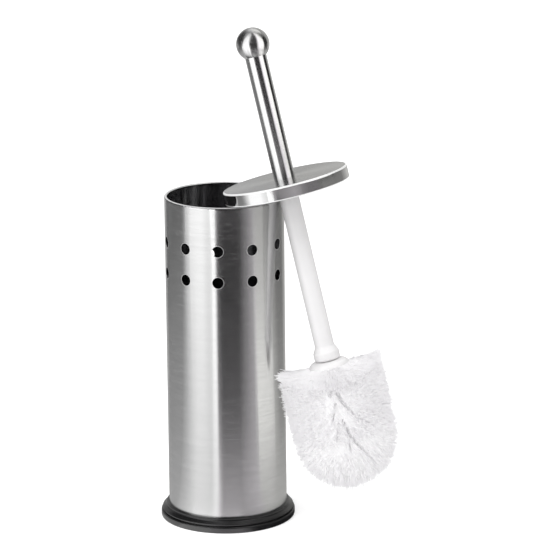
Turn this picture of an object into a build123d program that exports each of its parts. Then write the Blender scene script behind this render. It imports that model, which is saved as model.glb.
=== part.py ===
"""Toilet brush set: a perforated steel holder, and the brush hung by its lid on the holder's rim.

Millimetres, +Z up. The origin is on the holder's axis, on the surface that it stands on.
The brush is modelled upright on the Z axis, with height zero at the foot of the lid's skirt,
and then moved to where it hangs: outside the tube on the +X side, leaning on the rim.
Outlines are given as (radius, height) corners, with a third number where a corner is rounded.
"""

from build123d import *

import os
from math import cos, degrees, pi, radians, sin, sqrt, tan

# Holder tube, rolled from thin sheet
tube_diameter = 95.0
tube_sheet = 0.6
rim_height = 264.3
rim_hem = 2.2
seam_angle = 156.3
seam_lap = 5.0

# Vent holes, in rows below the rim, left out across the seam
vent_diameter = 9.0
vent_pitch = 28.0
vent_drop = 35.1
vent_row_spacing = 25.1
vent_rows = 2
seam_land = 32.0

# Moulded base under the tube
base_spread = 6.5
base_bead_height = 5.0
base_bead_round = 1.2
base_bead_step = 1.0
base_groove_height = 0.8
base_groove_depth = 1.2
base_shoulder_height = 1.2
base_shoulder_round = 0.5
base_slope_rise = 2.2
base_slope_round = 1.5
base_collar_height = 2.0
base_collar_wall = 2.2
base_floor = 1.8
base_floor_lift = 2.0
base_foot_width = 2.6
base_upstand_wall = 1.6
base_upstand_height = 9.0
base_rib_width = 1.6
base_rib_lift = 0.6
base_rib_count = 8
base_hub_diameter = 18.0
base_fit = 0.05
moulded_edge = 0.5
moulded_corner = 1.0

# Most of an edge that the rounding of one of its corners may take
edge_share = 0.45

# Loose drip cup that stands in the base
cup_height = 70.0
cup_wall = 1.4
cup_floor = 1.6
cup_draft = 0.8
cup_lip = 0.8
cup_lip_height = 2.4
cup_side_gap = 1.0
cup_rest_gap = 0.2
cup_corner = 4.0

# Lid, pressed from thin sheet, whose skirt goes over the rim
lid_side_gap = 0.7
lid_height = 10.5
lid_sheet = 0.6
lid_hem = 1.6
lid_edge = 1.6

# Handle tube and ball knob
handle_diameter = 17.0
handle_wall = 0.8
handle_length = 98.0
ball_diameter = 26.2
ball_land = 0.5
ball_socket = 3.0

# Inserts and stud inside the handle
plug_length = 18.0
foot_plug_length = 26.0
stud_diameter = 8.0
stud_in_ball = 9.0
stud_in_plug = 14.0
insert_fit = 0.05
insert_edge = 0.6

# Brush shaft below the lid, long enough for the stored brush to stop above the cup's floor
bristle_floor_gap = 5.7
shaft_diameter = 15.6
shaft_tip_diameter = 10.0
shaft_tip_length = 22.0
collar_diameter = 20.8
collar_height = 6.5
collar_round = 2.4
collar_flare = 5.0
collar_flare_round = 4.0
spigot_diameter = 11.0
spigot_length = 16.0

# Brush head
head_gap = 0.4
neck_land = 0.4
neck_lip = 1.0
neck_height = 8.6
core_diameter = 28.0
backing = 1.6
socket_spare = 1.0

# Bristles: level rows in tiers round the side, then rings round the domed end
bristle_side_gap = 0.65
bristle_dome = 43.0
side_length = 52.5
tier_count = 7
rows_per_tier = 2
strands_per_row = 24
dome_rows = 9
tip_rows = 4
fan_rise = 7.0
top_corner_depth = 10.0
top_corner_drop = 2.0
strand_width = 1.9
strand_sink = 0.6

# How the brush hangs on the rim
hang_tilt = 13.75
hang_gap = 0.25
lean_gap = 0.4
bristle_wall_gap = 1.0
settle_rounds = 12

# Sizes that follow from the ones above
tube_radius = tube_diameter / 2
tube_inner = tube_radius - tube_sheet
hem_radius = rim_hem / 2
floor_top = base_floor_lift + base_floor
upstand_outer = tube_inner - tube_sheet - base_fit
upstand_inner = upstand_outer - base_upstand_wall
cup_foot = floor_top + cup_rest_gap
cup_foot_radius = upstand_inner - cup_side_gap
bristle_radius = cup_foot_radius - cup_wall - bristle_side_gap
lid_radius = tube_radius + lid_side_gap + lid_hem
lid_under = lid_height - lid_sheet
handle_radius = handle_diameter / 2
handle_inner = handle_radius - handle_wall
ball_radius = ball_diameter / 2
ball_flat = lid_height + handle_length
tube_end = ball_flat + ball_socket
shaft_radius = shaft_diameter / 2
head_length = head_gap + neck_height + side_length + bristle_dome
shaft_length = rim_height - cup_foot - cup_floor - bristle_floor_gap - head_length
shaft_end = lid_under - shaft_length
head_top = shaft_end - head_gap
neck_foot = head_top - neck_height
core_radius = core_diameter / 2
backing_radius = core_radius + backing
dome_centre = neck_foot - side_length


def turned(*corners):
    """Solid of revolution about Z from a closed outline of corners.

    A rounding is limited to what the two edges beside its corner leave room for.
    """
    points = [Vector(*corner[:2]) for corner in corners]
    face = make_face(Polyline(*points, close=True))
    for index, corner in enumerate(corners):
        if len(corner) == 3:
            point = points[index]
            before = points[index - 1] - point
            after = points[(index + 1) % len(points)] - point
            room = edge_share * min(before.length, after.length) * tan(radians(before.get_angle(after)) / 2)
            face = fillet(face.vertices().sort_by_distance(point)[0], min(corner[2], room))
    return revolve(Plane.XZ * face, Axis.Z)


def hemmed(radius, sheet, hem, hem_height, rise):
    """Edges of a sheet wall whose free edge is rolled inwards into a hem.

    hem_height is the height of the hem's centre, and rise is +1 where the wall runs up from
    the hem and -1 where it runs down. Gives the hem's arc and the height where it meets the
    inner face of the wall.
    """
    roll = hem / 2
    centre = radius - roll
    meet = hem_height + rise * sqrt(roll**2 - (roll - sheet) ** 2)
    arc = ThreePointArc((radius, hem_height), (centre - roll, hem_height), (radius - sheet, meet))
    return arc, meet


def make_holder_tube():
    """Rolled tube with a hem round the rim, a lap seam inside and the vent holes."""
    hem_height = rim_height - hem_radius
    arc, meet = hemmed(tube_radius, tube_sheet, rim_hem, hem_height, -1)
    wall = Polyline(
        (tube_inner, meet),
        (tube_inner, floor_top),
        (tube_radius, floor_top),
        (tube_radius, hem_height),
    )
    tube = revolve(Plane.XZ * make_face(wall + arc), Axis.Z)

    lap_section = Polyline(
        (tube_inner - tube_sheet, floor_top),
        (tube_inner, floor_top),
        (tube_inner, meet),
        (tube_inner - tube_sheet, meet),
        close=True,
    )
    lap_arc = degrees(seam_lap / tube_inner)
    lap = revolve(Plane.XZ * make_face(lap_section), Axis.Z, lap_arc)
    tube += Rot(0, 0, seam_angle - lap_arc / 2) * lap

    pitch_angle = degrees(vent_pitch / tube_radius)
    count = 1 + int((pi * tube_diameter - seam_land) / vent_pitch)
    vents = []
    for row in range(vent_rows):
        height = rim_height - vent_drop - row * vent_row_spacing
        for index in range(count):
            angle = seam_angle + 180 + (index - (count - 1) / 2) * pitch_angle
            punch = Pos(tube_radius, 0, height) * Rot(0, 90, 0) * Cylinder(vent_diameter / 2, tube_radius)
            vents.append(Rot(0, 0, angle) * punch)
    return tube - vents


def make_base_ring():
    """Moulded base: two beads with a groove between them, a collar round the tube and a ribbed floor."""
    outer = tube_radius + base_spread
    shoulder = outer - base_bead_step
    groove = shoulder - base_groove_depth
    collar = tube_radius + base_fit + base_collar_wall
    foot = outer - base_foot_width
    groove_top = base_bead_height + base_groove_height
    slope_foot = groove_top + base_shoulder_height
    slope_top = slope_foot + base_slope_rise
    collar_top = slope_top + base_collar_height
    upstand_top = floor_top + base_upstand_height
    base = turned(
        (foot, 0),
        (outer, 0, moulded_edge),
        (outer, base_bead_height, base_bead_round),
        (groove, base_bead_height),
        (groove, groove_top),
        (shoulder, groove_top, base_shoulder_round),
        (shoulder, slope_foot, base_shoulder_round),
        (collar, slope_top, base_slope_round),
        (collar, collar_top, moulded_edge),
        (tube_radius + base_fit, collar_top),
        (tube_radius + base_fit, floor_top),
        (upstand_outer, floor_top),
        (upstand_outer, upstand_top, moulded_edge),
        (upstand_inner, upstand_top, moulded_edge),
        (upstand_inner, floor_top, moulded_corner),
        (0, floor_top),
        (0, base_floor_lift),
        (foot, base_floor_lift),
    )
    rib_height = base_floor_lift - base_rib_lift
    rib = Pos(foot / 2, 0, base_rib_lift + rib_height / 2) * Box(foot, base_rib_width, rib_height)
    hub = Pos(0, 0, base_rib_lift + rib_height / 2) * Cylinder(base_hub_diameter / 2, rib_height)
    ribs = [Rot(0, 0, index * 360 / base_rib_count) * rib for index in range(base_rib_count)]
    return base + [hub, *ribs]


def make_drip_cup():
    """Loose cup with a little draft and an outward lip."""
    top = cup_foot + cup_height
    top_radius = cup_foot_radius + cup_draft
    return turned(
        (0, cup_foot),
        (cup_foot_radius, cup_foot, cup_corner),
        (top_radius, top - cup_lip_height),
        (top_radius + cup_lip, top - cup_lip_height),
        (top_radius + cup_lip, top, moulded_edge),
        (top_radius - cup_wall, top, moulded_edge),
        (cup_foot_radius - cup_wall, cup_foot + cup_floor, cup_corner - cup_wall),
        (0, cup_foot + cup_floor),
    )


def make_lid_cap():
    """Pressed lid: flat top with a hole, rounded edge, and a skirt with a hem at its foot."""
    hole = shaft_tip_diameter / 2 + insert_fit
    arc, meet = hemmed(lid_radius, lid_sheet, lid_hem, lid_hem / 2, 1)
    inner = lid_radius - lid_sheet
    flat = lid_radius - lid_edge
    skirt_top = lid_height - lid_edge
    outline = [
        Line((lid_radius, lid_hem / 2), (lid_radius, skirt_top)),
        TangentArc((lid_radius, skirt_top), (flat, lid_height), tangent=(0, 1)),
        Polyline((flat, lid_height), (hole, lid_height), (hole, lid_under), (flat, lid_under)),
        TangentArc((flat, lid_under), (inner, skirt_top), tangent=(1, 0)),
        Line((inner, skirt_top), (inner, meet)),
        arc,
    ]
    return revolve(Plane.XZ * make_face(outline), Axis.Z)


def make_handle_tube():
    """Plain tube that stands on the lid and ends in the ball's socket."""
    return turned(
        (handle_inner, lid_height),
        (handle_radius, lid_height),
        (handle_radius, tube_end),
        (handle_inner, tube_end),
    )


def make_ball_knob():
    """Ball with a flat land, a socket for the tube and a blind hole for the stud."""
    land = handle_radius + ball_land
    centre = ball_flat + sqrt(ball_radius**2 - land**2)
    socket = handle_radius + insert_fit
    hole = stud_diameter / 2 + insert_fit
    outline = [
        ThreePointArc((0, centre + ball_radius), (ball_radius, centre), (land, ball_flat)),
        Polyline(
            (land, ball_flat),
            (socket, ball_flat),
            (socket, tube_end),
            (hole, tube_end),
            (hole, tube_end + stud_in_ball),
            (0, tube_end + stud_in_ball),
            (0, centre + ball_radius),
        ),
    ]
    return revolve(Plane.XZ * make_face(outline), Axis.Z)


def make_knob_stud():
    """Stud that ties the ball to the insert in the top of the handle."""
    radius = stud_diameter / 2
    foot = tube_end - stud_in_plug
    top = tube_end + stud_in_ball
    return turned((0, foot), (radius, foot, insert_edge), (radius, top, insert_edge), (0, top))


def make_plug(foot, top, bore_diameter, bore_foot, bore_top):
    """Round insert that fills the handle tube, with a bore for a stud."""
    outer = handle_inner - insert_fit
    plug = turned((0, foot), (outer, foot, insert_edge), (outer, top, insert_edge), (0, top))
    bore = Cylinder(bore_diameter / 2 + insert_fit, bore_top - bore_foot)
    return plug - Pos(0, 0, (bore_foot + bore_top) / 2) * bore


def make_top_plug():
    """Insert flush with the top of the handle tube, which takes the knob's stud."""
    return make_plug(tube_end - plug_length, tube_end, stud_diameter, tube_end - stud_in_plug, tube_end)


def make_foot_plug():
    """Insert that stands on the lid in the foot of the handle tube and takes the shaft's tip."""
    tip_top = lid_under + shaft_tip_length
    return make_plug(lid_height, lid_height + foot_plug_length, shaft_tip_diameter, lid_height, tip_top)


def make_brush_shaft():
    """Shaft with a tip through the lid, a flared collar at the lower end and a spigot for the head."""
    tip = shaft_tip_diameter / 2
    collar = collar_diameter / 2
    spigot = spigot_diameter / 2
    tip_top = lid_under + shaft_tip_length
    flare_top = shaft_end + collar_height + collar_flare
    return turned(
        (0, tip_top),
        (tip, tip_top, insert_edge),
        (tip, lid_under),
        (shaft_radius, lid_under, moulded_edge),
        (shaft_radius, flare_top, collar_flare_round),
        (collar, shaft_end + collar_height, collar_round),
        (collar, shaft_end, collar_round),
        (spigot, shaft_end),
        (spigot, shaft_end - spigot_length, insert_edge),
        (0, shaft_end - spigot_length),
    )


def make_head_core():
    """Neck and core of the brush head, with a socket for the shaft's spigot."""
    neck_top = collar_diameter / 2 + neck_land
    neck = backing_radius + neck_lip
    socket = spigot_diameter / 2 + insert_fit
    socket_foot = shaft_end - spigot_length - socket_spare
    brow = head_top - (neck - neck_top)
    outline = [
        Polyline((0, socket_foot), (socket, socket_foot), (socket, head_top), (neck_top, head_top)),
        TangentArc((neck_top, head_top), (neck, brow), tangent=(1, 0)),
        Polyline((neck, brow), (neck, neck_foot), (core_radius, neck_foot), (core_radius, dome_centre)),
        TangentArc((core_radius, dome_centre), (0, dome_centre - core_radius), tangent=(0, -1)),
        Line((0, dome_centre - core_radius), (0, socket_foot)),
    ]
    return revolve(Plane.XZ * make_face(outline), Axis.Z)


def side_row(index):
    """Root height, tip height and tip radius of a level row of strands, counted from the top.

    The rows fan out a little: the tips of the top row stand above its roots.
    """
    share = (index + 0.5) / (tier_count * rows_per_tier)
    root = neck_foot - share * side_length
    tip = root + (1 - share) * fan_rise
    corner = max(0, 1 - (neck_foot + fan_rise - tip) / top_corner_depth)
    return root, tip, bristle_radius - top_corner_drop * corner


def dome_ring(index):
    """Angle below level, and number of strands, of a ring of strands round the domed end."""
    angle = 90 * (index + 1) / dome_rows
    return angle, max(1, round(strands_per_row * cos(radians(angle))))


def strand(root, tip, turn):
    """Four-sided strand from root to tip, both (radius, height), turned about Z."""
    start = Vector(root[0], 0, root[1])
    along = Vector(tip[0], 0, tip[1]) - start
    section = Plane(start, x_dir=(0, 1, 0), z_dir=along) * Rectangle(strand_width, strand_width)
    return Rot(0, 0, turn) * extrude(section, along.length)


def ring_of_strands(root, tip, count, offset):
    """Strands spread evenly round Z. offset, in steps, turns the ring against its neighbours."""
    return [strand(root, tip, (index + offset) * 360 / count) for index in range(count)]


def make_side_tier(tier):
    """One tier of the side: a sleeve of the backing with its rows of strands."""
    height = side_length / tier_count
    top = neck_foot - tier * height
    sleeve = turned(
        (core_radius, top),
        (backing_radius, top),
        (backing_radius, top - height),
        (core_radius, top - height),
    )
    strands = []
    for row in range(tier * rows_per_tier, (tier + 1) * rows_per_tier):
        root, tip, reach = side_row(row)
        start = backing_radius - strand_sink, root
        strands += ring_of_strands(start, (reach, tip), strands_per_row, row % 2 / 2)
    return sleeve + strands


def dome_point(radius, angle):
    """Point of the domed core's section, with the angle below level."""
    return radius * cos(radians(angle)), dome_centre - radius * sin(radians(angle))


def make_dome_tier(first_row, last_row):
    """A band of the domed backing with its rings of strands."""
    start = 90 * (first_row + 0.5) / dome_rows if first_row else 0
    end = 90 * (last_row + 0.5) / dome_rows if last_row < dome_rows else 90
    middle = (start + end) / 2
    section = [
        ThreePointArc(*[dome_point(backing_radius, angle) for angle in (start, middle, end)]),
        Line(dome_point(backing_radius, end), dome_point(core_radius, end)),
        ThreePointArc(*[dome_point(core_radius, angle) for angle in (end, middle, start)]),
        Line(dome_point(core_radius, start), dome_point(backing_radius, start)),
    ]
    band = revolve(Plane.XZ * make_face(section), Axis.Z)
    strands = []
    for row in range(first_row, last_row):
        angle, count = dome_ring(row)
        root = dome_point(backing_radius - strand_sink, angle)
        tip = bristle_radius * cos(radians(angle)), dome_centre - bristle_dome * sin(radians(angle))
        strands += ring_of_strands(root, tip, count, row % 2 / 2)
    return band + strands


def hang_seat():
    """Offset and height of the foot of the lid's skirt where the brush hangs.

    The hem of the lid's skirt crosses the hem of the rim at two points and rests there, while
    the shaft leans on the rim from outside and the bristles stay clear of the tube's wall.
    """
    tilt = radians(hang_tilt)
    lean, rise = sin(tilt), cos(tilt)
    rim, rim_level = tube_radius - hem_radius, rim_height - hem_radius
    ring, ring_lift = lid_radius - lid_hem / 2, lid_hem / 2
    side_rows = [side_row(index) for index in range(tier_count * rows_per_tier)]
    bristle_reach = max(reach * rise + (tip - ring_lift) * lean for root, tip, reach in side_rows)
    offset, height = tube_radius + shaft_radius, rim_height
    for _ in range(settle_rounds):
        slope = (ring * lean) ** 2
        run = offset * ring * rise
        across = (run - sqrt(run**2 + slope * (offset**2 + ring**2 - rim**2))) / slope
        aside = sqrt(1 - across**2)
        lid_line = Vector(-aside * rise, across, -aside * lean)
        rim_line = Vector(-ring * aside, offset + ring * across * rise, 0)
        upright = abs(lid_line.cross(rim_line).normalized().Z)
        height = rim_level + (hem_radius + lid_hem / 2 + hang_gap) / upright - ring * across * lean
        shaft_reach = (shaft_radius + hem_radius + lean_gap - (height - rim_level) * lean) / rise
        offset = max(rim + shaft_reach, tube_radius + bristle_wall_gap + bristle_reach)
    return offset + ring_lift * lean, height - ring_lift * rise


holder = {
    "holder_tube": make_holder_tube(),
    "base_ring": make_base_ring(),
    "drip_cup": make_drip_cup(),
}

brush = {
    "lid_cap": make_lid_cap(),
    "handle_tube": make_handle_tube(),
    "ball_knob": make_ball_knob(),
    "knob_stud": make_knob_stud(),
    "top_plug": make_top_plug(),
    "foot_plug": make_foot_plug(),
    "brush_shaft": make_brush_shaft(),
    "head_core": make_head_core(),
}
for tier in range(tier_count):
    brush[f"bristle_tier_{tier + 1}"] = make_side_tier(tier)
brush["bristle_dome"] = make_dome_tier(0, dome_rows - tip_rows)
brush["bristle_tip"] = make_dome_tier(dome_rows - tip_rows, dome_rows)

hang_offset, hang_height = hang_seat()
hang = Pos(hang_offset, 0, hang_height) * Rot(0, -hang_tilt, 0)

os.makedirs("parts", exist_ok=True)
for name, piece in holder.items():
    export_step(piece, f"parts/{name}.step")
for name, piece in brush.items():
    export_step(hang * piece, f"parts/{name}.step")

side_strands = tier_count * rows_per_tier * strands_per_row
dome_strands = sum(dome_ring(row)[1] for row in range(dome_rows))
print(f"strands {side_strands + dome_strands}")
print(f"brush hangs at offset {hang_offset:.2f}, height {hang_height:.2f}")
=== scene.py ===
"""Toilet brush holder with its brush hung on the rim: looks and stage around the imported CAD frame."""

import math
import random

import bpy
from mathutils import Matrix, Vector, geometry, kdtree, noise


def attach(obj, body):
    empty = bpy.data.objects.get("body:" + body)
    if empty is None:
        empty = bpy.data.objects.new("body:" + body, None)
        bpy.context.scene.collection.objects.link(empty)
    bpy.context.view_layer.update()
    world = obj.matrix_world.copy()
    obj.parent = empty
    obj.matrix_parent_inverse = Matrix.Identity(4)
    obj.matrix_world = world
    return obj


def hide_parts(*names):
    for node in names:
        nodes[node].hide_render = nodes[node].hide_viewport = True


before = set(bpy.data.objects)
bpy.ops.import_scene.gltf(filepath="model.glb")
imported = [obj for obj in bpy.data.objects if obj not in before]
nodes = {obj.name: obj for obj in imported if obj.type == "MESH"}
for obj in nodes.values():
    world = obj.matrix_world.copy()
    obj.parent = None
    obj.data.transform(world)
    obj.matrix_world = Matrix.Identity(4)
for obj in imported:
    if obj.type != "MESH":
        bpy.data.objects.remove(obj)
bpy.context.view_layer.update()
scene = bpy.context.scene

MM = 0.001
WHITE = (1, 1, 1, 1)

# Brush frame, as in the part's source: Z is the brush's axis, and height zero is the foot of the lid's skirt.
HANG_OFFSET = 53.91 * MM
HANG_HEIGHT = 271.64 * MM
HANG_TILT = math.radians(13.75)
hang_foot = (HANG_OFFSET, 0, HANG_HEIGHT)
hang_turn = (0, -HANG_TILT, 0)
hang = Matrix.Translation(hang_foot) @ Matrix.Rotation(-HANG_TILT, 4, "Y")

# Holder's tube, in mm, and how far and below which height the bristles keep off it.
TUBE_RADIUS = 47.5
TUBE_CLEARANCE = 0.5
CLEAR_BELOW = 266.0

# Vents of the tube, as in the part's source, and the painted highlight, a light band, round each on the
# outside.
VENT_MIDDLE = math.radians(336.3)
VENT_REACH = math.radians(160)
VENT_HALF_PITCH = 14.0 / TUBE_RADIUS
VENT_HEIGHTS = (229.2 * MM, 204.1 * MM)
VENT_RADIUS = 4.5 * MM
VENT_HIGHLIGHT_WIDTH = 0.3 * MM
VENT_HIGHLIGHT_DEPTH = 0.12 * MM
VENT_HIGHLIGHT_SHARE = 0.55

# Bristle head, in mm in the brush frame: backing, outside of the bristles, and rows of tufts.
NECK_FOOT = -147.6
NECK_RADIUS = 16.6
SIDE_LENGTH = 52.5
DOME_CENTRE = NECK_FOOT - SIDE_LENGTH
BACKING_RADIUS = 15.6
ROOT_RADIUS = BACKING_RADIUS - 0.4
BRISTLE_RADIUS = 41.6
BRISTLE_DOME = 43.0
FAN_RISE = 7.0
TIERS = 7
ROWS_PER_TIER = 2
TUFTS_PER_ROW = 24
DOME_ROWS = 9
TIP_ROWS = 4

# Dished top of the bristles: heights at the neck and round the edge, and the angle of the edge's far side.
BROW_NECK = 3.4
BROW_SIDE = 6.5
BROW_BACK = -5.0
BROW_FRONT = -4.0
BROW_FAR = math.radians(112.5)
BROW_NECK_CURVE = 1.5
BROW_TURN_CURVE = 1.5
BROW_EDGE_CURVE = 1.8
BROW_FOLD = 0.3

# Photograph's camera, fitted to the tube's rim, foot and vents.
CAMERA_TURN = math.radians(22.5)
CAMERA_DISTANCE = 2439.3 * MM
CAMERA_HEIGHT = 829.9 * MM
CAMERA_YAW = 0.01788
CAMERA_PITCH = 0.25505
CAMERA_ROLL = -0.00886
CAMERA_CLIP = (0.05, 50)
FOCAL_PIXELS = 3166.1
FRAME_PIXELS = 560
SENSOR = 36.0


def add_camera():
    """Camera at the photograph's place, by the fitted turn, pitch and roll."""
    turn = Matrix.Rotation(CAMERA_TURN, 3, "Z")
    ahead = Vector((
        math.sin(CAMERA_YAW) * math.cos(CAMERA_PITCH),
        math.cos(CAMERA_YAW) * math.cos(CAMERA_PITCH),
        -math.sin(CAMERA_PITCH),
    ))
    level = Vector((math.cos(CAMERA_YAW), -math.sin(CAMERA_YAW), 0))
    above = level.cross(ahead)
    right = turn @ (math.cos(CAMERA_ROLL) * level + math.sin(CAMERA_ROLL) * above)
    up = turn @ (math.cos(CAMERA_ROLL) * above - math.sin(CAMERA_ROLL) * level)
    back = turn @ -ahead
    data = bpy.data.cameras.new("camera")
    data.sensor_width = SENSOR
    data.lens = FOCAL_PIXELS * SENSOR / FRAME_PIXELS
    data.clip_start, data.clip_end = CAMERA_CLIP
    camera = bpy.data.objects.new("camera", data)
    place = turn @ Vector((0, -CAMERA_DISTANCE, CAMERA_HEIGHT))
    camera.matrix_world = Matrix.Translation(place) @ Matrix((right, up, back)).transposed().to_4x4()
    scene.collection.objects.link(camera)
    scene.camera = camera


class Nodes:
    """Node tree of a new material or world, with short calls to add and join nodes."""

    def __init__(self, name, world=False):
        self.owner = bpy.data.worlds.new(name) if world else bpy.data.materials.new(name)
        self.owner.use_nodes = True
        self.tree = self.owner.node_tree
        self.tree.nodes.clear()
        self.output = self.add("ShaderNodeOutputWorld" if world else "ShaderNodeOutputMaterial")

    def add(self, kind, **settings):
        node = self.tree.nodes.new(kind)
        for key, value in settings.items():
            setattr(node, key, value)
        return node

    def join(self, source, target):
        self.tree.links.new(source, target)

    def tint(self, share, colour, other):
        """Mix a colour with a fixed one."""
        node = self.add("ShaderNodeMix", data_type="RGBA")
        self.join(share, node.inputs["Factor"])
        self.join(colour, node.inputs["A"])
        node.inputs["B"].default_value = (*other, 1)
        return node.outputs["Result"]

    def blend(self, share, value, other):
        """Mix a value with a fixed one."""
        node = self.add("ShaderNodeMix", data_type="FLOAT")
        self.join(share, node.inputs["Factor"])
        self.join(value, node.inputs["A"])
        node.inputs["B"].default_value = other
        return node.outputs["Result"]

    def math(self, operation, a, b=0.0):
        node = self.add("ShaderNodeMath", operation=operation)
        for socket, value in zip(node.inputs, (a, b)):
            if isinstance(value, (int, float)):
                socket.default_value = value
            else:
                self.join(value, socket)
        return node.outputs[0]

    def root_of_squares(self, a, b):
        return self.math("SQRT", self.math("ADD", self.math("MULTIPLY", a, a), self.math("MULTIPLY", b, b)))

    def ramp(self, factor, low, high, start, end):
        """Map a factor between two numbers or two colours."""
        node = self.add("ShaderNodeValToRGB")
        colours = [(v, v, v) if isinstance(v, (int, float)) else v for v in (low, high)]
        for element, place, colour in zip(node.color_ramp.elements, (start, end), colours):
            element.position = place
            element.color = (*colour, 1)
        self.join(factor, node.inputs["Fac"])
        return node.outputs["Color"]

    def noise(self, vector, scale=1.0, detail=3.0, roughness=0.55):
        node = self.add("ShaderNodeTexNoise")
        node.inputs["Scale"].default_value = scale
        node.inputs["Detail"].default_value = detail
        node.inputs["Roughness"].default_value = roughness
        self.join(vector, node.inputs["Vector"])
        return node.outputs["Fac"]

    def bump(self, height, distance):
        node = self.add("ShaderNodeBump")
        node.inputs["Strength"].default_value = 1.0
        node.inputs["Distance"].default_value = distance
        self.join(height, node.inputs["Height"])
        return node.outputs["Normal"]

    def place(self, location=(0, 0, 0), rotation=(0, 0, 0)):
        """Object coordinates seen from a frame of the given place and turn."""
        coordinates = self.add("ShaderNodeTexCoord")
        mapping = self.add("ShaderNodeMapping", vector_type="TEXTURE")
        mapping.inputs["Location"].default_value = location
        mapping.inputs["Rotation"].default_value = rotation
        self.join(coordinates.outputs["Object"], mapping.inputs["Vector"])
        return mapping.outputs["Vector"]

    def principled(self, **values):
        """Principled shader to the output, with each socket set to a number or a colour, or joined."""
        shader = self.add("ShaderNodeBsdfPrincipled")
        for key, value in values.items():
            socket = shader.inputs[key.replace("_", " ")]
            if isinstance(value, (int, float)):
                socket.default_value = value
            elif isinstance(value, tuple):
                socket.default_value = (*value, 1)
            else:
                self.join(value, socket)
        self.join(shader.outputs["BSDF"], self.output.inputs["Surface"])
        return shader


# Finishes. Each span is the part of a noise's range over which a look changes.
LOOK_SPAN = (0.3, 0.7)
TINT_SPAN = (0.35, 0.65)
RAISED_SPAN = (0.53, 0.66)
FINE_SHARE = 0.8
BROAD_SCALE = 0.12
GLOSS_SWING = 0.12
# Blue tint of the painted shade inside the tube.
INNER_SHADE_BLUE = 1.04
# Colour, roughness and lost metal of the painted highlight bands on edges and round vents.
HIGHLIGHT_STEEL = (0.92, 0.92, 0.92)
HIGHLIGHT_ROUGHNESS = 0.4
HIGHLIGHT_SCATTER = 0.75
FILAMENT_DIM = 0.992
FILAMENT_THROUGH = 0.3
# A height or radius in metres that no place of the part reaches.
BEYOND = 1.0


def vent_highlights(n, x, y, z, radius):
    """Mask of the painted highlight bands round the vents, on the outside of the tube. X is the middle of the
    vents.
    """
    tube = TUBE_RADIUS * MM
    angle = n.math("ARCTAN2", y, x)
    shifted = n.math("ADD", angle, VENT_HALF_PITCH)
    along = n.math("MULTIPLY", n.math("PINGPONG", shifted, VENT_HALF_PITCH), tube)
    falls = [n.math("ABSOLUTE", n.math("SUBTRACT", z, height)) for height in VENT_HEIGHTS]
    off = n.root_of_squares(along, n.math("MINIMUM", *falls))
    past_vent = n.math("GREATER_THAN", off, VENT_RADIUS)
    band = n.math("MULTIPLY", past_vent, n.math("LESS_THAN", off, VENT_RADIUS + VENT_HIGHLIGHT_WIDTH))
    near = n.math("LESS_THAN", n.math("ABSOLUTE", angle), VENT_REACH)
    outer = n.math("GREATER_THAN", radius, tube - VENT_HIGHLIGHT_DEPTH)
    return n.math("MULTIPLY", band, n.math("MULTIPLY", near, outer))


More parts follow.
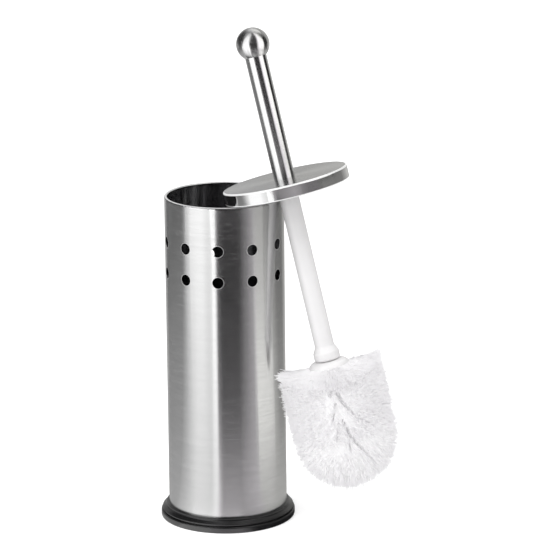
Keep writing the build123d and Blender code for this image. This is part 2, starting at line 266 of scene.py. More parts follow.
def steel(
    name, grey, roughness, anisotropy, origin, turn, apex, line, streak, contrast, depth,
    inner_shade=None, bright=None, edge=None, vented=False, scatter=0.0,
):
    """Brushed steel with its grain round an axis.

    origin and turn give the frame whose Z is the axis. apex is how far below the origin the point lies from
    which the sheen is drawn out: far away on a tube, near on a lid with a flat top. line is the width of a
    grain line, streak its length, contrast its change of tone and depth its relief.

    inner_shade is (radius, share): inside that radius the base colour is darkened to that share and tinted
    slightly blue, a painted shade inside the tube. bright is (radius, height, foot, roughness): beyond that
    radius the steel is polished above the height and below the foot. edge is (foot, height, least radius, most
    radius, share): between those radii, below the foot and above the height, a painted highlight lightens the
    steel by that share to a pale, rougher, less metallic band. vented steel has such a painted highlight band
    round each vent. scatter is how much the raised grain lines scatter light evenly.
    """
    n = Nodes(name)
    split = n.add("ShaderNodeSeparateXYZ")
    n.join(n.place(origin, turn), split.inputs[0])
    x, y, z = split.outputs
    radius = n.root_of_squares(x, y)
    grain = n.add("ShaderNodeCombineXYZ")
    n.join(n.math("DIVIDE", x, streak), grain.inputs[0])
    n.join(n.math("DIVIDE", y, streak), grain.inputs[1])
    n.join(n.math("DIVIDE", n.math("ADD", radius, z), line), grain.inputs[2])
    fine = n.noise(grain.outputs[0], detail=4.0, roughness=0.7)
    broad = n.noise(grain.outputs[0], scale=BROAD_SCALE, detail=2.0)
    fine_part = n.math("MULTIPLY", fine, FINE_SHARE)
    mixed = n.math("ADD", fine_part, n.math("MULTIPLY", broad, 1 - FINE_SHARE))
    shade = n.ramp(mixed, grey * (1 - contrast), min(1.0, grey * (1 + contrast)), *LOOK_SPAN)
    # Painted shade: the base colour inside the radius is darkened and tinted slightly blue.
    if inner_shade:
        most, share = inner_shade
        blend = n.add("ShaderNodeMix", data_type="RGBA", blend_type="MULTIPLY")
        n.join(n.math("LESS_THAN", radius, most), blend.inputs["Factor"])
        n.join(shade, blend.inputs["A"])
        blend.inputs["B"].default_value = (share, share, share * INNER_SHADE_BLUE, 1)
        shade = blend.outputs["Result"]
    gloss = n.ramp(mixed, roughness * (1 + GLOSS_SWING), roughness * (1 - GLOSS_SWING), *LOOK_SPAN)
    if bright:
        least, height, foot, polish = bright
        ends = n.math("ADD", n.math("GREATER_THAN", z, height), n.math("LESS_THAN", z, foot))
        polished = n.math("MULTIPLY", n.math("GREATER_THAN", radius, least), ends)
        gloss = n.blend(polished, gloss, polish)
    metal = n.ramp(fine, 1.0, 1.0 - scatter, *RAISED_SPAN) if scatter else 1.0
    light = None
    # Painted highlight: a pale, rough, less metallic band along the edge.
    if edge:
        foot, height, least, most, share = edge
        ends = n.math("ADD", n.math("LESS_THAN", z, foot), n.math("GREATER_THAN", z, height))
        past_least = n.math("GREATER_THAN", radius, least)
        between = n.math("MULTIPLY", past_least, n.math("LESS_THAN", radius, most))
        light = n.math("MULTIPLY", n.math("MULTIPLY", between, ends), share)
    # Painted highlight: the same pale band round each vent.
    if vented:
        vents = n.math("MULTIPLY", vent_highlights(n, x, y, z, radius), VENT_HIGHLIGHT_SHARE)
        light = n.math("MAXIMUM", light, vents) if light else vents
    if light:
        shade = n.tint(light, shade, HIGHLIGHT_STEEL)
        gloss = n.blend(light, gloss, HIGHLIGHT_ROUGHNESS)
        metal = n.math("SUBTRACT", metal, n.math("MULTIPLY", light, HIGHLIGHT_SCATTER))
    shader = n.principled(
        Base_Color=shade,
        Metallic=metal,
        Roughness=gloss,
        Anisotropic=anisotropy,
        Normal=n.bump(fine, depth),
    )
    axis = Matrix.Rotation(turn[1], 3, "Y") @ Vector((0, 0, 1))
    n.join(n.place(tuple(Vector(origin) - axis * apex)), shader.inputs["Tangent"])
    return n.owner


def plastic(name, colour, roughness, grain, depth, variation=0.04, **extra):
    """Moulded plastic with a fine surface grain and a slow change of gloss."""
    n = Nodes(name)
    local = n.place()
    fine = n.noise(local, scale=1 / grain, detail=2.0)
    broad = n.noise(local, scale=60.0)
    low = tuple(c * (1 - variation) for c in colour)
    n.principled(
        Base_Color=n.ramp(broad, low, colour, *TINT_SPAN),
        Roughness=n.ramp(broad, roughness * (1 - GLOSS_SWING), roughness * (1 + GLOSS_SWING), *LOOK_SPAN),
        Normal=n.bump(fine, depth),
        **extra,
    )
    return n.owner


def filament(name, colour, roughness):
    """White nylon filament that lets part of the light through."""
    n = Nodes(name)
    broad = n.noise(n.place(), scale=120.0)
    tint = n.ramp(broad, tuple(c * FILAMENT_DIM for c in colour), colour, *TINT_SPAN)
    shader = n.principled(Base_Color=tint, Roughness=roughness)
    through = n.add("ShaderNodeBsdfTranslucent")
    n.join(tint, through.inputs["Color"])
    mix = n.add("ShaderNodeMixShader")
    mix.inputs["Fac"].default_value = FILAMENT_THROUGH
    n.join(shader.outputs[0], mix.inputs[1])
    n.join(through.outputs[0], mix.inputs[2])
    n.join(mix.outputs[0], n.output.inputs["Surface"])
    return n.owner


def dress(material, *names):
    """Give CAD nodes their finish."""
    for name in names:
        data = nodes[name].data
        data.materials.clear()
        data.materials.append(material)


tube_steel = steel(
    "tube_steel", grey=0.66, roughness=0.22, anisotropy=0.95,
    origin=(0, 0, 0), turn=(0, 0, VENT_MIDDLE), apex=5.0,
    line=0.4 * MM, streak=14 * MM, contrast=0.07, depth=0.003 * MM,
    # Painted shade inside the tube.
    inner_shade=(47.38 * MM, 0.48),
    bright=(40 * MM, 262.2 * MM, -BEYOND, 0.14),
    # Painted highlight along the top of the rim.
    edge=(-BEYOND, 263.5 * MM, 40 * MM, 47.2 * MM, 0.8),
    # Painted highlight round each vent.
    vented=True,
    scatter=0.1,
)
lid_steel = steel(
    "lid_steel", grey=0.66, roughness=0.22, anisotropy=0.8,
    origin=hang_foot, turn=hang_turn, apex=0.01,
    line=0.4 * MM, streak=25 * MM, contrast=0.05, depth=0.004 * MM,
    bright=(48.0 * MM, BEYOND, 8.8 * MM, 0.1),
    # Painted highlight along the lid's top edge and its hem.
    edge=(0.9 * MM, 9.1 * MM, 48.7 * MM, BEYOND, 1.0),
)
handle_steel, ball_steel = [
    steel(
        name, grey=0.8, roughness=0.22, anisotropy=1.0,
        origin=hang_foot, turn=hang_turn, apex=5.0,
        line=0.35 * MM, streak=12 * MM, contrast=0.03, depth=0.002 * MM,
    )
    for name in ("handle_steel", "ball_steel")
]
stud_steel = steel(
    "stud_steel", grey=0.55, roughness=0.35, anisotropy=0.5,
    origin=hang_foot, turn=hang_turn, apex=5.0,
    line=0.5 * MM, streak=10 * MM, contrast=0.05, depth=0.004 * MM,
)
black_plastic = plastic(
    "black_plastic", (0.009, 0.009, 0.0095), roughness=0.24, grain=0.5 * MM, depth=0.004 * MM,
    variation=0.15, Specular_IOR_Level=0.65,
)
cup_plastic = plastic(
    "cup_plastic", (0.06, 0.06, 0.065), roughness=0.42, grain=0.6 * MM, depth=0.012 * MM, variation=0.12
)
insert_plastic = plastic(
    "insert_plastic", (0.7, 0.7, 0.68), roughness=0.45, grain=0.6 * MM, depth=0.01 * MM
)
white_plastic = plastic(
    "white_plastic", (0.8, 0.792, 0.795), roughness=0.32, grain=0.8 * MM, depth=0.006 * MM, variation=0.02
)
pile_plastic = plastic(
    "pile_plastic", (0.9, 0.894, 0.902), roughness=0.5, grain=0.8 * MM, depth=0.3 * MM, variation=0.01
)
bristle_plastic = filament("bristle_plastic", (0.994, 0.991, 0.996), roughness=0.45)

dress(tube_steel, "holder_tube")
dress(lid_steel, "lid_cap")
dress(handle_steel, "handle_tube")
dress(ball_steel, "ball_knob")
dress(stud_steel, "knob_stud")
dress(black_plastic, "base_ring")
dress(cup_plastic, "drip_cup")
dress(insert_plastic, "top_plug", "foot_plug")
dress(white_plastic, "brush_shaft", "head_core")
dress(bristle_plastic, *[name for name in nodes if name.startswith("bristle_")])
# The head isn't mirrored in the steel: neither its core nor the bristles made below.
nodes["head_core"].visible_glossy = False

# Bristles, in mm. Each strand of the CAD tiers stands for a tuft of filaments, which rise out of a dense pile.
STRANDS_PER_TUFT = 42
STRAND_ROOT = 0.28
STRAND_TIP = 0.2
STRAND_STEPS = (0.5, 0.72, 0.87, 1.0)
STRAND_SIDES = 3
TUFT_SPREAD = 4.6
SPREAD_SWING = (0.7, 1.3)
ROOT_SPREAD = 0.9
KNEE_SHARE = (0.45, 0.6)

# Mean and spread of a filament's reach, as a share of the outside, and of how far it stops below the top.
# LOOSE is the share of filaments that take the loose range instead.
REACH = (0.985, 0.02)
LOOSE_REACH = (1.0, 1.075)
RAGGED = (0, 0.9)
LOOSE_RAGGED = (-4, 0)
LOOSE = 0.09

# Drift of the filaments, away from the crown (angle, height), and less round the calm side.
FLOW_SIZE = 26.0
FLOW_REACH = 10.0
FLOW_SHIFTS = (3.1, 17.7, 41.3)
CROWN = (-68.0, -170.0)
CROWN_SIZE = 48.0
CROWN_CORE = 12
CROWN_REACH = 9.0
CALM_SIDE = math.radians(-125.0)
CALM_SHARE = 0.75

# Locks, which neighbouring filaments gather to, apart from the share of strays.
LOCKS = 2600
LOCKS_ON_SIDE = 0.6
LOCK_RISE = 3
LOCK_PULL = 0.48
PULL_SWING = (0.5, 1.3)
STRAYS = 0.12

# Dense pile under the filaments.
PILE_SHARE = 0.85
PILE_SEGMENTS = 240
PILE_LEVELS = 5
PILE_LIFT = 0.6
PILE_LUMPS = 0.5
PILE_UNDER_TOP = 1.5
PILE_TOP_RINGS = (0.83, 0.67, 0.5)
DOME_STEPS = 4
DOME_END = 89.5

# Filaments that lie outward from the neck over the top, and those that rise from the neck's rounded shoulder.
FRINGE_STRANDS = 2400
FRINGE_LEAN = 2.0
FRINGE_SINK = 0.6
FRINGE_BAND = 13
FRINGE_CROWD = 1.6
FRINGE_LENGTH = (5, 10)
FRINGE_RISE = (-0.6, 0.5)
FRINGE_DEPTH = 1.0
FRINGE_CURVE = 0.7
FRINGE_STEPS = (0.0, 0.5, 1.0)
NECK_STRANDS = 900
NECK_LEAN = 1.5
NECK_BAND = 2.8
NECK_ROUND = 5.8
NECK_CLIMB = 0.7
NECK_SINK = 0.2
NECK_END = (NECK_RADIUS + 2, NECK_RADIUS + 8)
NECK_LIFT = (-0.3, 0.4)
NECK_BOW = Vector((0, 0, 0.3))

# Partings that the photograph shows: a line of (angle, height) on the outside, its width and its strength.
SEEN_PARTINGS = (
    (((-65, -160), (-60, -169), (-54, -176), (-45, -183)), 1.7, 0.66),
    (((-66, -181), (-62, -194), (-54, -204.5), (-42, -216.5), (-29, -224.5)), 1.4, 0.66),
    (((-66, -152), (-74, -160)), 1.3, 0.5),
    (((-70, -168), (-79, -182)), 1.4, 0.45),
    (((-71, -184), (-78, -197)), 1.3, 0.45),
    (((-44, -184), (-33, -190)), 1.3, 0.45),
    (((-62, -148), (-58, -152)), 1.2, 0.45),
    (((-64, -200), (-65, -209)), 1.2, 0.45),
)

# Partings drawn at random round the other sides, the share of filaments that lie across any parting, and the
# groove that a parting leaves in the pile.
OTHER_PARTINGS = 12
OTHER_START = -20
OTHER_STEP = 24
OTHER_SHIFT = (-8, 8)
OTHER_HEIGHT = (NECK_FOOT - 8, DOME_CENTRE - 4)
OTHER_LEAST = DOME_CENTRE - 36
OTHER_SLANT = (-1.3, 1.3)
OTHER_PLACES = 4
OTHER_FALL = (6, 10)
OTHER_TURN = (5, 11)
OTHER_WIDTH = (1.6, 2.4)
OTHER_STRENGTH = (0.4, 0.65)
CROSSING = 0.5
GROOVE_DEPTH = 6.0
GROOVE_WIDTH = 0.8
GROOVE_SWING = 0.45
GROOVE_SIZE = 7
draw = random.Random(7)


def level_at(turn):
    """Level direction at an angle in radians."""
    return Vector((math.cos(turn), math.sin(turn), 0))


def side_tufts(tier):
    """Root and tip of each tuft of a side tier."""
    tufts = []
    for row in range(tier * ROWS_PER_TIER, (tier + 1) * ROWS_PER_TIER):
        share = (row + 0.5) / (TIERS * ROWS_PER_TIER)
        height = NECK_FOOT - share * SIDE_LENGTH
        rise = (1 - share) * FAN_RISE
        for index in range(TUFTS_PER_ROW):
            out = level_at(2 * math.pi * (index + row % 2 / 2) / TUFTS_PER_ROW)
            root = out * ROOT_RADIUS + Vector((0, 0, height))
            tip = out * BRISTLE_RADIUS + Vector((0, 0, height + rise))
            tufts.append((root, tip))
    return tufts


def dome_tufts(first, last):
    """Root and tip of each tuft of some rings of the domed end."""
    centre = Vector((0, 0, DOME_CENTRE))
    tufts = []
    for row in range(first, last):
        down = math.radians(90 * (row + 1) / DOME_ROWS)
        count = max(1, round(TUFTS_PER_ROW * math.cos(down)))
        for index in range(count):
            out = level_at(2 * math.pi * (index + row % 2 / 2) / count)
            root = centre + (out * math.cos(down) - Vector((0, 0, math.sin(down)))) * ROOT_RADIUS
            fall = Vector((0, 0, BRISTLE_DOME * math.sin(down)))
            tip = centre + out * BRISTLE_RADIUS * math.cos(down) - fall
            tufts.append((root, tip))
    return tufts


def keep_off_tube(point):
    """Push a point of the brush frame off the holder's tube."""
    place = hang @ (point * MM)
    off = math.hypot(place.x, place.y)
    least = (TUBE_RADIUS + TUBE_CLEARANCE) * MM
    if off < least and place.z < CLEAR_BELOW * MM:
        place.x *= least / off
        place.y *= least / off
        return hang.inverted() @ place / MM
    return point


def brow_at(point):
    """Height of the dished top of the bristles at a point of the brush frame.

    The top is turned up at the left and right of the photograph's camera, and pressed down before and behind.
    """
    off = math.hypot(point.x, point.y)
    share = min(1.0, max(0.0, (off - NECK_RADIUS) / (BRISTLE_RADIUS - NECK_RADIUS)))
    far = math.cos(math.atan2(point.y, point.x) - BROW_FAR)
    turned = BROW_BACK if far > 0 else BROW_FRONT
    edge = BROW_SIDE + (turned - BROW_SIDE) * abs(far) ** BROW_TURN_CURVE
    return NECK_FOOT + BROW_NECK * (1 - share) ** BROW_NECK_CURVE + edge * share ** BROW_EDGE_CURVE


def below_brow(point, under=0.0):
    """Lower a point of the brush frame that stands above the top of the bristles."""
    most = brow_at(point) - under
    if point.z > most:
        return Vector((point.x, point.y, most - BROW_FOLD * (point.z - most)))
    return point


def outside(angle, height):
    """Point of the bristles' outside, at an angle in degrees and a height of the brush frame."""
    level = level_at(math.radians(angle)) * BRISTLE_RADIUS
    if height < DOME_CENTRE:
        level *= math.sqrt(max(0.0, 1 - ((DOME_CENTRE - height) / BRISTLE_DOME) ** 2))
    return level + Vector((0, 0, height))


def on_envelope(point, reach):
    """Bring a point of the brush frame to a share of the way to the outside of the bristles."""
    off = math.hypot(point.x, point.y)
    if point.z >= DOME_CENTRE:
        scale = BRISTLE_RADIUS * reach / off
        return Vector((point.x * scale, point.y * scale, point.z))
    down = (DOME_CENTRE - point.z) / BRISTLE_DOME
    scale = reach / math.hypot(down, off / BRISTLE_RADIUS)
    return Vector((point.x * scale, point.y * scale, DOME_CENTRE - (DOME_CENTRE - point.z) * scale))


def all_partings():
    """Every parting, as its points on the outside, its width and its strength."""
    found = []
    for line, width, strength in SEEN_PARTINGS:
        found.append(([outside(*place) for place in line], width, strength))
    for index in range(OTHER_PARTINGS):
        angle = OTHER_START + OTHER_STEP * index + draw.uniform(*OTHER_SHIFT)
        height = draw.uniform(*OTHER_HEIGHT)
        slant = draw.uniform(*OTHER_SLANT)
        line = []
        for _ in range(OTHER_PLACES):
            line.append(outside(angle, max(height, OTHER_LEAST)))
            height -= draw.uniform(*OTHER_FALL)
            angle += slant * draw.uniform(*OTHER_TURN)
        found.append((line, draw.uniform(*OTHER_WIDTH), draw.uniform(*OTHER_STRENGTH)))
    return found


def all_locks():
    """Points of the outside that neighbouring filaments gather to."""
    tree = kdtree.KDTree(LOCKS)
    side = round(LOCKS * LOCKS_ON_SIDE)
    for index in range(LOCKS):
        angle = draw.uniform(0, 360)
        if index < side:
            height = NECK_FOOT + LOCK_RISE - draw.random() * (SIDE_LENGTH + LOCK_RISE)
        else:
            height = DOME_CENTRE - BRISTLE_DOME * draw.random()
        tree.insert(outside(angle, height), index)
    tree.balance()
    return tree


crown = outside(*CROWN)
partings = all_partings()
locks = all_locks()


def off_line(place, line):
    """Shortest way from a line to a point."""
    best = None
    for a, b in zip(line, line[1:]):
        share = geometry.intersect_point_line(place, a, b)[1]
        off = place - a.lerp(b, min(1.0, max(0.0, share)))
        if best is None or off.length < best.length:
            best = off
    return best


def groove_at(place):
    """How deep the pile is pressed in at a point of the outside."""
    deep = 0.0
    for line, width, strength in partings:
        width *= GROOVE_WIDTH + GROOVE_SWING * noise.noise(place / GROOVE_SIZE)
        near = off_line(place, line).length / width
        if near < 1:
            deep = max(deep, GROOVE_DEPTH * strength * (1 - near ** 2))
    return deep


def flow_at(place):
    """Drift of the tufts, which lie over one way or another and away from the crown, less on the calm side."""
    at = place / FLOW_SIZE
    calm = 0.5 + 0.5 * math.cos(math.atan2(place.y, place.x) - CALM_SIDE)
    drift = FLOW_REACH * Vector([noise.noise(at + Vector((shift, 0, 0))) for shift in FLOW_SHIFTS])
    away = place - crown
    fade = math.exp(-((away.length / CROWN_SIZE) ** 2))
    spread = CROWN_REACH * min(1.0, away.length / CROWN_CORE) * fade
    return (drift + away.normalized() * spread) * (1 - CALM_SHARE * calm ** 2)


def combed(aim):
    """Where a filament's tip goes once it is drawn into its lock and off the partings."""
    if draw.random() > STRAYS:
        lock = locks.find(aim)[0]
        aim = aim.lerp(lock, LOCK_PULL * draw.uniform(*PULL_SWING))
    aim = aim + flow_at(aim)
    for line, width, strength in partings:
        off = off_line(aim, line)
        if off.length < width and draw.random() > CROSSING:
            aim = aim + off.normalized() * (width - off.length) * strength
    return aim


def add_rod(vertices, faces, points, radii, sides):
    """A tapered rod through the points, closed at both ends."""
    first = len(vertices)
    for index, (point, radius) in enumerate(zip(points, radii)):
        along = (points[min(index + 1, len(points) - 1)] - points[max(index - 1, 0)]).normalized()
        across = along.orthogonal().normalized()
        other = along.cross(across)
        for side in range(sides):
            turn = 2 * math.pi * side / sides
            vertices.append((point + (across * math.cos(turn) + other * math.sin(turn)) * radius) * MM)
    for ring in range(len(points) - 1):
        for side in range(sides):
            a = first + ring * sides + side
            b = first + ring * sides + (side + 1) % sides
            faces.append((a, b, b + sides, a + sides))
    end = first + (len(points) - 1) * sides
    faces.append(tuple(end + side for side in range(sides)))
    faces.append(tuple(first + side for side in reversed(range(sides))))


def add_pile(vertices, faces, inner, outer):
    """A closed ring of the dense pile, its section given by the inner and the outer (radius, height) line."""
    first = len(vertices)
    section = list(inner) + list(reversed(outer))
    for segment in range(PILE_SEGMENTS):
        turn = 2 * math.pi * segment / PILE_SEGMENTS
        for index, (radius, height) in enumerate(section):
            point = Vector((radius * math.cos(turn), radius * math.sin(turn), height))
            if index >= len(inner):
                level = Vector((0, 0, max(DOME_CENTRE, height)))
                press = groove_at(on_envelope(point, 1.0)) + draw.uniform(-1, 1) * PILE_LUMPS
                point = below_brow(point - (point - level).normalized() * press, PILE_UNDER_TOP)
            vertices.append(point * MM)
    count = len(section)
    for segment in range(PILE_SEGMENTS):
        following = (segment + 1) % PILE_SEGMENTS
        for index in range(count):
            a = first + segment * count + index
            b = first + segment * count + (index + 1) % count
            c = first + following * count + (index + 1) % count
            d = first + following * count + index
            faces.append((a, b, c, d))


def side_pile(tier):
    """Inner and outer line of the pile of a side tier."""
    height = SIDE_LENGTH / TIERS
    heights = [NECK_FOOT - (tier + 1 - share / (PILE_LEVELS - 1)) * height for share in range(PILE_LEVELS)]
    reach = BACKING_RADIUS + PILE_SHARE * (BRISTLE_RADIUS - BACKING_RADIUS)
    outer = []
    for level in heights:
        rise = FAN_RISE * (1 - (NECK_FOOT - level) / SIDE_LENGTH)
        outer.append((reach, level + PILE_SHARE * rise * PILE_LIFT))
    if tier == 0:
        outer += [(reach * share, NECK_FOOT + BROW_SIDE) for share in PILE_TOP_RINGS]
    return [(ROOT_RADIUS, level) for level in heights], outer


def dome_pile(first, last):
    """Inner and outer line of the pile of some rings of the domed end."""
    start = 90 * (first + 0.5) / DOME_ROWS if first else 0
    end = 90 * (last + 0.5) / DOME_ROWS if last < DOME_ROWS else DOME_END
    steps = DOME_STEPS * (last - first)
    across = BACKING_RADIUS + PILE_SHARE * (BRISTLE_RADIUS - BACKING_RADIUS)
    deep = BACKING_RADIUS + PILE_SHARE * (BRISTLE_DOME - BACKING_RADIUS)
    inner, outer = [], []
    for step in range(steps):
        down = math.radians(end + (start - end) * step / (steps - 1))
        inner.append((ROOT_RADIUS * math.cos(down), DOME_CENTRE - ROOT_RADIUS * math.sin(down)))
        outer.append((across * math.cos(down), DOME_CENTRE - deep * math.sin(down)))
    return inner, outer


def any_side(lean):
    """A level direction drawn at random, and a lean across it."""
    out = level_at(draw.uniform(0, 2 * math.pi))
    return out, Vector((-out.y, out.x, 0)) * draw.gauss(0, lean)


def neck_fringe():
    """Filaments of the top row, which lie outward from the neck over the dished top."""
    fringe = []
    for _ in range(FRINGE_STRANDS):
        out, lean = any_side(FRINGE_LEAN)
        start = NECK_RADIUS - FRINGE_SINK + FRINGE_BAND * draw.random() ** FRINGE_CROWD
        length = draw.uniform(*FRINGE_LENGTH)
        rise = draw.uniform(*FRINGE_RISE)
        points = []
        for share in FRINGE_STEPS:
            point = out * (start + length * share) + lean * share ** 2
            point.z = brow_at(point) - FRINGE_DEPTH + (FRINGE_DEPTH + rise) * share ** FRINGE_CURVE
            points.append(keep_off_tube(point))
        fringe.append(points)
    for _ in range(NECK_STRANDS):
        out, lean = any_side(NECK_LEAN)
        rise = NECK_BAND + draw.uniform(0, NECK_CLIMB) ** 2 * NECK_ROUND
        root = NECK_RADIUS - math.sqrt(NECK_ROUND ** 2 - (NECK_ROUND + NECK_BAND - rise) ** 2) - NECK_SINK
        start = out * root + Vector((0, 0, NECK_FOOT + rise))
        end = out * draw.uniform(*NECK_END) + lean
        end.z = brow_at(end) + draw.uniform(*NECK_LIFT)
        fringe.append([start, (start + end) / 2 + NECK_BOW, keep_off_tube(end)])
    return fringe


def make_bristles(name, tufts, pile, node, fringe=()):
    """The tufts of one CAD bristle node, as one piece."""
    vertices, faces = [], []
    add_pile(vertices, faces, *pile)
    pile_faces = len(faces)
    radii = [STRAND_ROOT + (STRAND_TIP - STRAND_ROOT) * t for t in STRAND_STEPS]
    for root, tip in tufts:
        length = (tip - root).length
        out = (tip - root).normalized()
        across = out.orthogonal().normalized()
        other = out.cross(across)
        for _ in range(STRANDS_PER_TUFT):
            turn = draw.uniform(0, 2 * math.pi)
            side = across * math.cos(turn) + other * math.sin(turn)
            spread = TUFT_SPREAD * math.sqrt(draw.random()) * draw.uniform(*SPREAD_SWING)
            reach = draw.gauss(*REACH) if draw.random() > LOOSE else draw.uniform(*LOOSE_REACH)
            end = on_envelope(combed(tip + side * spread), reach)
            ragged = draw.gauss(*RAGGED) if draw.random() > LOOSE else draw.uniform(*LOOSE_RAGGED)
            start = root + side * draw.uniform(0, ROOT_SPREAD)
            knee = start + out * length * draw.uniform(*KNEE_SHARE)
            points = []
            for t in STRAND_STEPS:
                point = start * (1 - t) ** 2 + knee * 2 * t * (1 - t) + end * t ** 2
                points.append(keep_off_tube(below_brow(point, ragged * t)))
            add_rod(vertices, faces, points, radii, STRAND_SIDES)
    for points in fringe:
        add_rod(vertices, faces, points, (STRAND_ROOT, STRAND_ROOT, STRAND_TIP), STRAND_SIDES)
    mesh = bpy.data.meshes.new(name)
    mesh.from_pydata([tuple(v) for v in vertices], [], faces)
    mesh.materials.append(bristle_plastic)
    mesh.materials.append(pile_plastic)
    mesh.polygons.foreach_set("material_index", [1] * pile_faces + [0] * (len(faces) - pile_faces))
    piece = bpy.data.objects.new(name, mesh)
    scene.collection.objects.link(piece)
    piece.matrix_world = hang
    piece.visible_glossy = False
    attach(piece, "brush")
    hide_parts(node)


for tier in range(TIERS):
    row = f"tier_{tier + 1}"
    fringe = () if tier else neck_fringe()
    make_bristles(f"strands_{row}", side_tufts(tier), side_pile(tier), f"bristle_{row}", fringe)
dome_end = DOME_ROWS - TIP_ROWS
make_bristles("strands_dome", dome_tufts(0, dome_end), dome_pile(0, dome_end), "bristle_dome")
make_bristles("strands_tip", dome_tufts(dome_end, DOME_ROWS), dome_pile(dome_end, DOME_ROWS), "bristle_tip")

# Stage: white floor and world, soft light, and cards that only reflections see.
AMBIENT = 0.95
FLOOR_TONE = (0.82, 0.82, 0.82, 1)
FLOOR_GLOW = 0.45
FLOOR_SIZE = 6.0
FLOOR_LEVEL = -0.2 * MM
LAMP_AIM = Vector((0.03, 0, 0.15))

# Rings of cards, in metres: radii on the floor, heights of the wall, (radius, height) overhead, and heights of
# the nearer cards beside the handle and the lid. CARD_STEP is the most degrees that one card spans.
CARD_STEP = 3
CARD_LEVEL = 0.3 * MM
WALL_RADIUS = 0.6
FLOOR_RINGS = (0.0545, 0.07, 0.25, 0.42, WALL_RADIUS)
WALL_RINGS = (0, 0.05, 0.19, 0.342, 0.5, 0.95)
CEILING = (0.3, 1.15)
ZENITH = (0.01, 1.25)
SIDE_RADIUS = 0.2
HANDLE_SIDE = (0.306, 0.5)
LID_SIDE = (0.26, 0.3)

# Slight colour of the room ahead and to the right, and where each starts, in degrees to the camera's right.
AHEAD_START = -17
RIGHT_START = 57
AHEAD_TINT = (1.0, 0.965, 0.995)
RIGHT_TINT = (1.0, 0.995, 0.97)
LEFT_TINT = (1.0, 1.0, 1.0)


def seen_white(n):
    """One for camera, glossy and transmission rays, which see a white background, else zero."""
    path = n.add("ShaderNodeLightPath")
    total = n.math("ADD", path.outputs["Is Camera Ray"], path.outputs["Is Glossy Ray"])
    return n.math("MINIMUM", n.math("ADD", total, path.outputs["Is Transmission Ray"]), 1.0)


def add_floor():
    """White floor that keeps the object's shadow."""
    n = Nodes("floor")
    diffuse = n.add("ShaderNodeBsdfDiffuse")
    diffuse.inputs["Color"].default_value = FLOOR_TONE
    glow = n.add("ShaderNodeEmission")
    n.join(n.math("MULTIPLY", seen_white(n), FLOOR_GLOW), glow.inputs["Strength"])
    both = n.add("ShaderNodeAddShader")
    n.join(diffuse.outputs[0], both.inputs[0])
    n.join(glow.outputs[0], both.inputs[1])
    n.join(both.outputs[0], n.output.inputs["Surface"])
    corners = ((-1, -1), (1, -1), (1, 1), (-1, 1))
    mesh = bpy.data.meshes.new("floor")
    mesh.from_pydata([(x * FLOOR_SIZE, y * FLOOR_SIZE, FLOOR_LEVEL) for x, y in corners], [], [(0, 1, 2, 3)])
    mesh.materials.append(n.owner)
    floor = bpy.data.objects.new("floor", mesh)
    scene.collection.objects.link(floor)


def add_world():
    """World that looks white and lights the object at the ambient strength."""
    n = Nodes("studio", world=True)
    mix = n.add("ShaderNodeMixShader")
    n.join(seen_white(n), mix.inputs["Fac"])
    for index, strength in ((1, AMBIENT), (2, 1.0)):
        background = n.add("ShaderNodeBackground")
        background.inputs["Color"].default_value = WHITE
        background.inputs["Strength"].default_value = strength
        n.join(background.outputs[0], mix.inputs[index])
    n.join(mix.outputs[0], n.output.inputs["Surface"])
    scene.world = n.owner


def toward(angle):
    """Level direction at an angle, in degrees, to the right of the camera's as seen from the object."""
    a = math.radians(angle)
    ahead = Vector((math.sin(CAMERA_TURN), -math.cos(CAMERA_TURN), 0))
    right = Vector((math.cos(CAMERA_TURN), math.sin(CAMERA_TURN), 0))
    return ahead * math.cos(a) + right * math.sin(a)


def card_material():
    """Glow of a card, by the level kept at its points."""
    n = Nodes("card")
    level = n.add("ShaderNodeAttribute", attribute_name="level")
    glow = n.add("ShaderNodeEmission")
    n.join(level.outputs["Color"], glow.inputs["Color"])
    n.join(glow.outputs[0], n.output.inputs["Surface"])
    n.owner.cycles.emission_sampling = "NONE"
    return n.owner


def tint_at(angle):
    """Slight colour of the room at an angle to the right of the camera."""
    if angle >= RIGHT_START:
        return RIGHT_TINT
    return AHEAD_TINT if angle > AHEAD_START else LEFT_TINT


def add_cards(name, material, bands, near, far):
    """A ring of cards. bands are (start, end, level, level at the end), near and far (radius, height)."""
    vertices, faces, levels = [], [], []
    for start, end, level, last in bands:
        pieces = max(1, math.ceil((end - start) / CARD_STEP))
        for piece in range(pieces):
            first = len(vertices)
            for share in (piece / pieces, (piece + 1) / pieces):
                angle = start + (end - start) * share
                glow = (level + (last - level) * share) * Vector(tint_at(angle))
                for radius, height in (near, far):
                    vertices.append(toward(angle) * radius + Vector((0, 0, height)))
                    levels.extend((*glow, 1.0))
            faces.append((first, first + 1, first + 3, first + 2))
    mesh = bpy.data.meshes.new(name)
    mesh.from_pydata([tuple(v) for v in vertices], [], faces)
    attribute = mesh.attributes.new("level", "FLOAT_COLOR", "POINT")
    attribute.data.foreach_set("color", levels)
    mesh.materials.append(material)
    cards = bpy.data.objects.new(name, mesh)
    scene.collection.objects.link(cards)
    cards.visible_camera = False
    cards.visible_diffuse = False
    cards.visible_transmission = False
    cards.visible_shadow = False
    cards.visible_volume_scatter = False


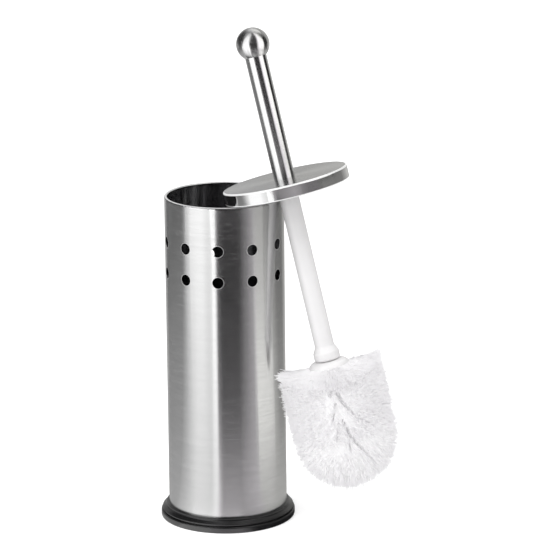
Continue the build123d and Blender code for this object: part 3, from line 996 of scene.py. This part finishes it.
def add_studio():
    """Cards round the object, from the floor beside it up to the zenith, as rings of bands."""
    base_floor = [
        (-180, -90, 0.5, 0.4),
        (-90, -50, 0.4, 1.4),
        (-50, -18, 2.2, 2.2),
        (-18, -4, 2.0, 1.5),
        (-4, 12, 1.5, 1.6),
        (12, 22, 1.6, 0.7),
        (22, 30, 0.3, 0.03),
        (30, 120, 0.02, 0.02),
        (120, 180, 0.3, 0.5),
    ]
    near_floor = [
        (-180, -145, 0.6, 0.5),
        (-145, -90, 0.42, 0.55),
        (-90, -55, 0.6, 1.0),
        (-55, -30, 1.0, 0.9),
        (-30, -17, 0.85, 1.1),
        (-17, -8, 1.1, 0.55),
        (-8, 25, 0.52, 0.52),
        (25, 70, 0.55, 0.66),
        (70, 105, 0.66, 0.55),
        (105, 145, 0.55, 0.42),
        (145, 180, 0.5, 0.6),
    ]
    far_left = [
        (-180, -145, 0.6, 0.5),
        (-145, -90, 0.35, 0.45),
        (-90, -55, 0.5, 1.1),
        (-55, -30, 1.1, 0.95),
        (-30, -16, 0.9, 1.4),
        (-16, -5, 0.2, 0.08),
        (-5, 25, 0.08, 0.1),
    ]
    far_right = [
        (78, 100, 1.3, 1.0),
        (100, 118, 0.7, 0.42),
        (118, 145, 0.38, 0.35),
        (145, 180, 0.5, 0.6),
    ]
    far_floor = far_left + [(25, 59.5, 0.15, 0.52), (59.5, 78, 1.4, 1.3)] + far_right
    farthest_floor = far_left + [(25, 55, 0.15, 0.56), (55, 78, 1.45, 1.35)] + far_right
    low_wall = [
        (-180, -145, 0.7, 0.4),
        (-145, -92, 0.2, 0.3),
        (-92, -76, 0.3, 0.4),
        (-76, -50, 0.45, 1.25),
        (-50, -40, 1.3, 1.3),
        (-40, -28, 1.2, 0.95),
        (-26, -15.5, 2.0, 2.0),
        (-15.5, -5, 0.1, 0.02),
        (-5, 28, 0.03, 0.03),
        (28, 54, 0.04, 0.54),
        (54, 80, 0.64, 0.74),
        (80, 97, 1.25, 1.1),
        (97, 112, 0.3, 0.25),
        (112, 140, 0.2, 0.2),
        (140, 180, 0.35, 0.7),
    ]
    wall = [
        (-180, -145, 0.7, 0.4),
        (-145, -86, 0.15, 0.2),
        (-86, -66, 0.2, 1.35),
        (-66, -40, 1.5, 1.5),
        (-40, -28, 1.4, 1.0),
        (-28, -17.5, 2.0, 2.0),
        (-17.5, -6, 0.1, 0.01),
        (-6, 28, 0.01, 0.01),
        (28, 48, 0.04, 0.5),
        (48, 76, 0.56, 0.54),
        (76, 93, 0.2, 0.2),
        (93, 106, 0.35, 0.28),
        (106, 140, 0.25, 0.15),
        (140, 180, 0.35, 0.7),
    ]
    middle = [
        (-180, -115, 0.5, 0.4),
        (-115, -78, 0.1, 0.15),
        (-78, -24, 1.7, 1.5),
        (-24, -13, 0.95, 0.5),
        (-13, 112, 0.02, 0.02),
        (112, 132, 0.3, 0.5),
        (132, 180, 0.65, 0.5),
    ]
    upper = [
        (-180, -150, 0.5, 0.35),
        (-150, -69, 0.05, 0.03),
        (-69, -24, 1.35, 1.35),
        (-24, 118, 0.02, 0.02),
        (118, 180, 0.35, 0.5),
    ]
    overhead = [
        (-150, -69, 0.05, 0.03),
        (-69, -24, 1.3, 1.3),
        (-24, 34, 0.07, 0.07),
        (34, 44, 0.1, 1.3),
        (44, 78, 1.3, 1.3),
        (78, 118, 0.03, 0.03),
    ]
    high = [(-180, -150, 0.5, 0.35), *overhead, (118, 180, 0.35, 0.5)]
    top = [(-180, -150, 1.0, 0.8), *overhead, (118, 180, 1.0, 1.0)]
    handle_side = [(32, 44, 0.2, 1.35), (44, 78, 1.35, 1.35)]
    lid_side = [
        (-14, -4, 0.95, 0.6),
        (-4, 2, 0.5, 0.34),
        (2, 12, 0.34, 0.4),
        (12, 25, 0.4, 0.5),
        (25, 33, 0.48, 0.4),
        (33, 41, 0.34, 0.24),
        (41, 60, 0.22, 0.22),
        (60, 100, 0.27, 0.27),
        (100, 125, 0.35, 0.7),
    ]
    material = card_material()
    floors = {
        "cards_base_floor": base_floor,
        "cards_near_floor": near_floor,
        "cards_far_floor": far_floor,
        "cards_farthest_floor": farthest_floor,
    }
    for (name, bands), near, far in zip(floors.items(), FLOOR_RINGS, FLOOR_RINGS[1:]):
        add_cards(name, material, bands, (near, CARD_LEVEL), (far, CARD_LEVEL))
    walls = {
        "cards_low_wall": low_wall,
        "cards_wall": wall,
        "cards_middle": middle,
        "cards_upper": upper,
        "cards_high": high,
    }
    for (name, bands), foot, head in zip(walls.items(), WALL_RINGS, WALL_RINGS[1:]):
        add_cards(name, material, bands, (WALL_RADIUS, foot), (WALL_RADIUS, head))
    add_cards("cards_top", material, top, (WALL_RADIUS, WALL_RINGS[-1]), CEILING)
    add_cards("cards_zenith", material, high, CEILING, ZENITH)
    sides = (("cards_handle_side", handle_side, HANDLE_SIDE), ("cards_lid_side", lid_side, LID_SIDE))
    for name, bands, (foot, head) in sides:
        add_cards(name, material, bands, (SIDE_RADIUS, foot), (SIDE_RADIUS, head))


def add_lamp(name, angle, distance, height, size, watts):
    """Round soft lamp at an angle to the right of the camera, which reflections don't see."""
    data = bpy.data.lights.new(name, "AREA")
    data.shape = "DISK"
    data.size = size
    data.energy = watts
    lamp = bpy.data.objects.new(name, data)
    scene.collection.objects.link(lamp)
    lamp.location = toward(angle) * distance + Vector((0, 0, height))
    lamp.rotation_mode = "QUATERNION"
    lamp.rotation_quaternion = (LAMP_AIM - lamp.location).to_track_quat("-Z", "Y")
    lamp.visible_glossy = False


add_camera()
add_floor()
add_world()
add_studio()
add_lamp("key", angle=-50, distance=3.2, height=3.4, size=2.8, watts=42)
add_lamp("front", angle=12, distance=2.0, height=4.2, size=2.4, watts=36)
add_lamp("fill", angle=-45, distance=3.6, height=1.0, size=2.0, watts=15)

scene.view_settings.view_transform = "Standard"
# Light goes on many times between and through the white filaments.
scene.cycles.max_bounces = 64
scene.cycles.diffuse_bounces = 48
scene.cycles.transmission_bounces = 48
scene.cycles.glossy_bounces = 8
